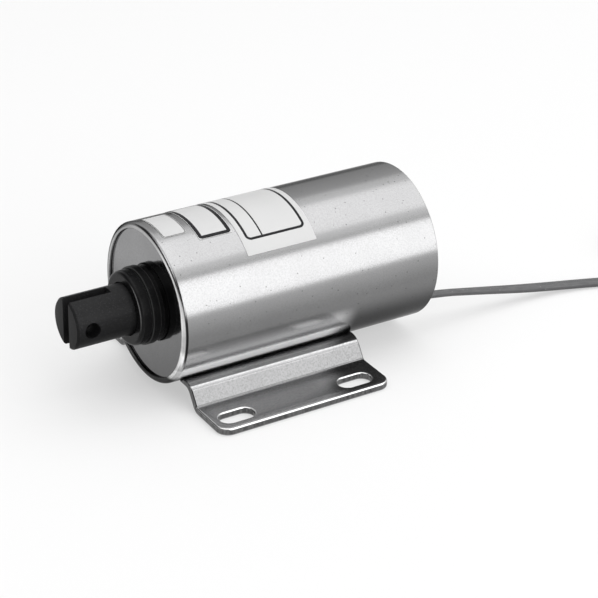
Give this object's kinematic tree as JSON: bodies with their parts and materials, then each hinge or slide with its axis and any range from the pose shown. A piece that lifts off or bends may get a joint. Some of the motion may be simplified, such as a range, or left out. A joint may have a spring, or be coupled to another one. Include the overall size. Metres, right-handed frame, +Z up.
{
  "type": "push pull solenoid",
  "caption": "Tubular push pull solenoid with welded slotted feet, a black clevis plunger and a flat twin cord.",
  "frame": {"origin": "centre of the slot pattern of the two feet, on their underside", "axes": "+Z up, +X from the plunger's end to the cord's end along the casing, so the plunger comes out towards -X; +Y across, towards the far foot"},
  "size_m": [0.2518, 0.08, 0.0525],
  "materials": {
    "plated_steel": "satin plated",
    "machined_steel": "turned",
    "black_steel": "black oxide, satin",
    "spring_steel": "black oxide",
    "plunger_steel": "black coated, fine grain",
    "foot_steel": "plated, satin",
    "weld_steel": "as welded",
    "brass_tube": "drawn",
    "winding": "enamelled copper",
    "bobbin_plastic": "moulded nylon",
    "tape": "polyester tape",
    "cushion_rubber": "foamed",
    "fibre": "pressed fibre",
    "board": "solder mask",
    "component_black": "moulded",
    "component_blue": "dipped",
    "tin": "tinned",
    "cover_plastic": "moulded",
    "grommet_rubber": "soft",
    "label_film": "printed film",
    "cord_jacket": "vinyl",
    "tie_plastic": "moulded"
  },
  "bodies": {
    "casing": {"casing": "plated_steel", "front_plate": "machined_steel", "guide_collar": "black_steel", "collar_ring": "spring_steel", "guide_tube": "brass_tube", "bobbin": "bobbin_plastic", "coil_winding": "winding", "winding_tape": "tape", "bobbin_cushion": "cushion_rubber", "fixed_core": "machined_steel", "seat_washer": "brass_tube", "rear_plate": "machined_steel", "insulation_disc": "fibre", "board_posts": "bobbin_plastic", "rectifier_board": "board", "bridge_rectifier": "component_black", "varistor": "component_blue", "solder_joints": "tin", "coil_leads": "winding", "rear_cover": "cover_plastic", "cord_grommet": "grommet_rubber", "cord_clamp": "cover_plastic", "cord_conductors": "tin", "near_foot": "foot_steel", "far_foot": "foot_steel", "foot_welds": "weld_steel", "front_label": "label_film", "middle_label": "label_film", "rating_label": "label_film", "cord_tube": "cord_jacket", "cord_coil": "cord_jacket", "cord_tail": "cord_jacket", "cord_tie": "tie_plastic", "cord_tips": "tin"},
    "plunger": {"plunger": "plunger_steel"}
  },
  "joints": [
    {"name": "plunger_slide", "type": "slide", "parent": "casing", "child": "plunger", "axis": [-1, 0, 0], "range_m": [0, 0.015]}
  ]
}
